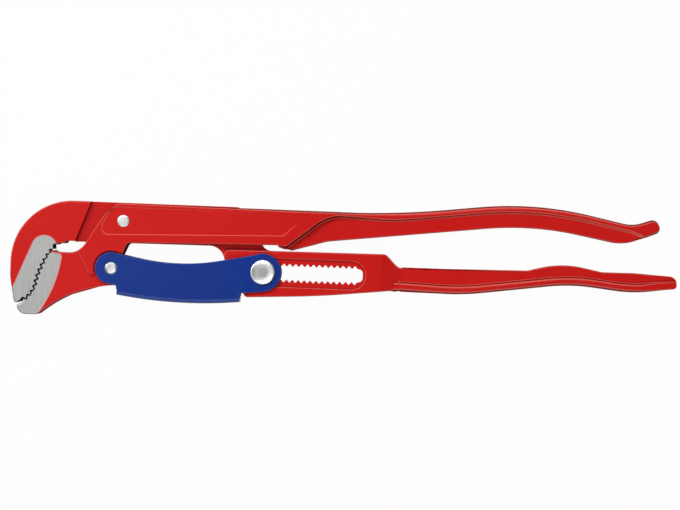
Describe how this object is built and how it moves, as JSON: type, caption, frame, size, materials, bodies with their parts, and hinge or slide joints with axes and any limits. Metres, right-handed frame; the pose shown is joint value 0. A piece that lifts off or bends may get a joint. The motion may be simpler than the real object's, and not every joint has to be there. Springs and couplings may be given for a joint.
{
  "type": "pipe wrench",
  "caption": "Forged swan-jaw pipe wrench: a hook lever slides through a forked lever, and a push-button bolt carried by a folded sheet link locks in its rack.",
  "frame": {"origin": "axis of the guide pin, on the face of the fork plates that the wrench lies on", "axes": "+X along the slide of the hook lever towards the handles, +Y across the handles away from the link, +Z through the thickness, away from the resting face"},
  "size_m": [0.5619, 0.1069, 0.0259],
  "materials": {
    "red_coat": "semi-gloss powder coat",
    "blue_coat": "satin powder coat",
    "bright_steel": "ground",
    "polished_steel": "polished",
    "spring_steel": "oiled black"
  },
  "bodies": {
    "upper_lever": {"upper_lever": "red_coat", "guide_pin": "bright_steel"},
    "adjusting_link": {"adjusting_link": "blue_coat", "link_pivot_pin": "bright_steel"},
    "bolt_seat": {"spring_washer": "bright_steel", "button_spring": "spring_steel"},
    "hook_lever": {"hook_lever": "red_coat"},
    "lock_button": {"lock_bolt": "bright_steel", "push_button": "polished_steel", "retaining_ring": "spring_steel"}
  },
  "joints": [
    {"name": "link_swing", "type": "hinge", "parent": "upper_lever", "child": "adjusting_link", "pos_m": [-0.009, -0.04, 0.012], "axis": [0, 0, -1], "range_deg": [0, 15]},
    {"name": "bolt_turn", "type": "hinge", "parent": "adjusting_link", "child": "bolt_seat", "pos_m": [0.1185, -0.0386, 0.012], "axis": [0, 0, -1], "range_deg": [0, 0.6]},
    {"name": "hook_slide", "type": "slide", "parent": "bolt_seat", "child": "hook_lever", "axis": [-1, 0, 0], "range_m": [0, 0.06]},
    {"name": "button_press", "type": "slide", "parent": "bolt_seat", "child": "lock_button", "axis": [0, 0, -1], "range_m": [0, 0.0042], "stiffness_N_per_m": 3200, "springref_m": -0.002, "deforming": ["button_spring"]}
  ],
  "couplings": [
    {"joint": "bolt_turn", "follows": "link_swing", "ratio": 0.036}
  ]
}
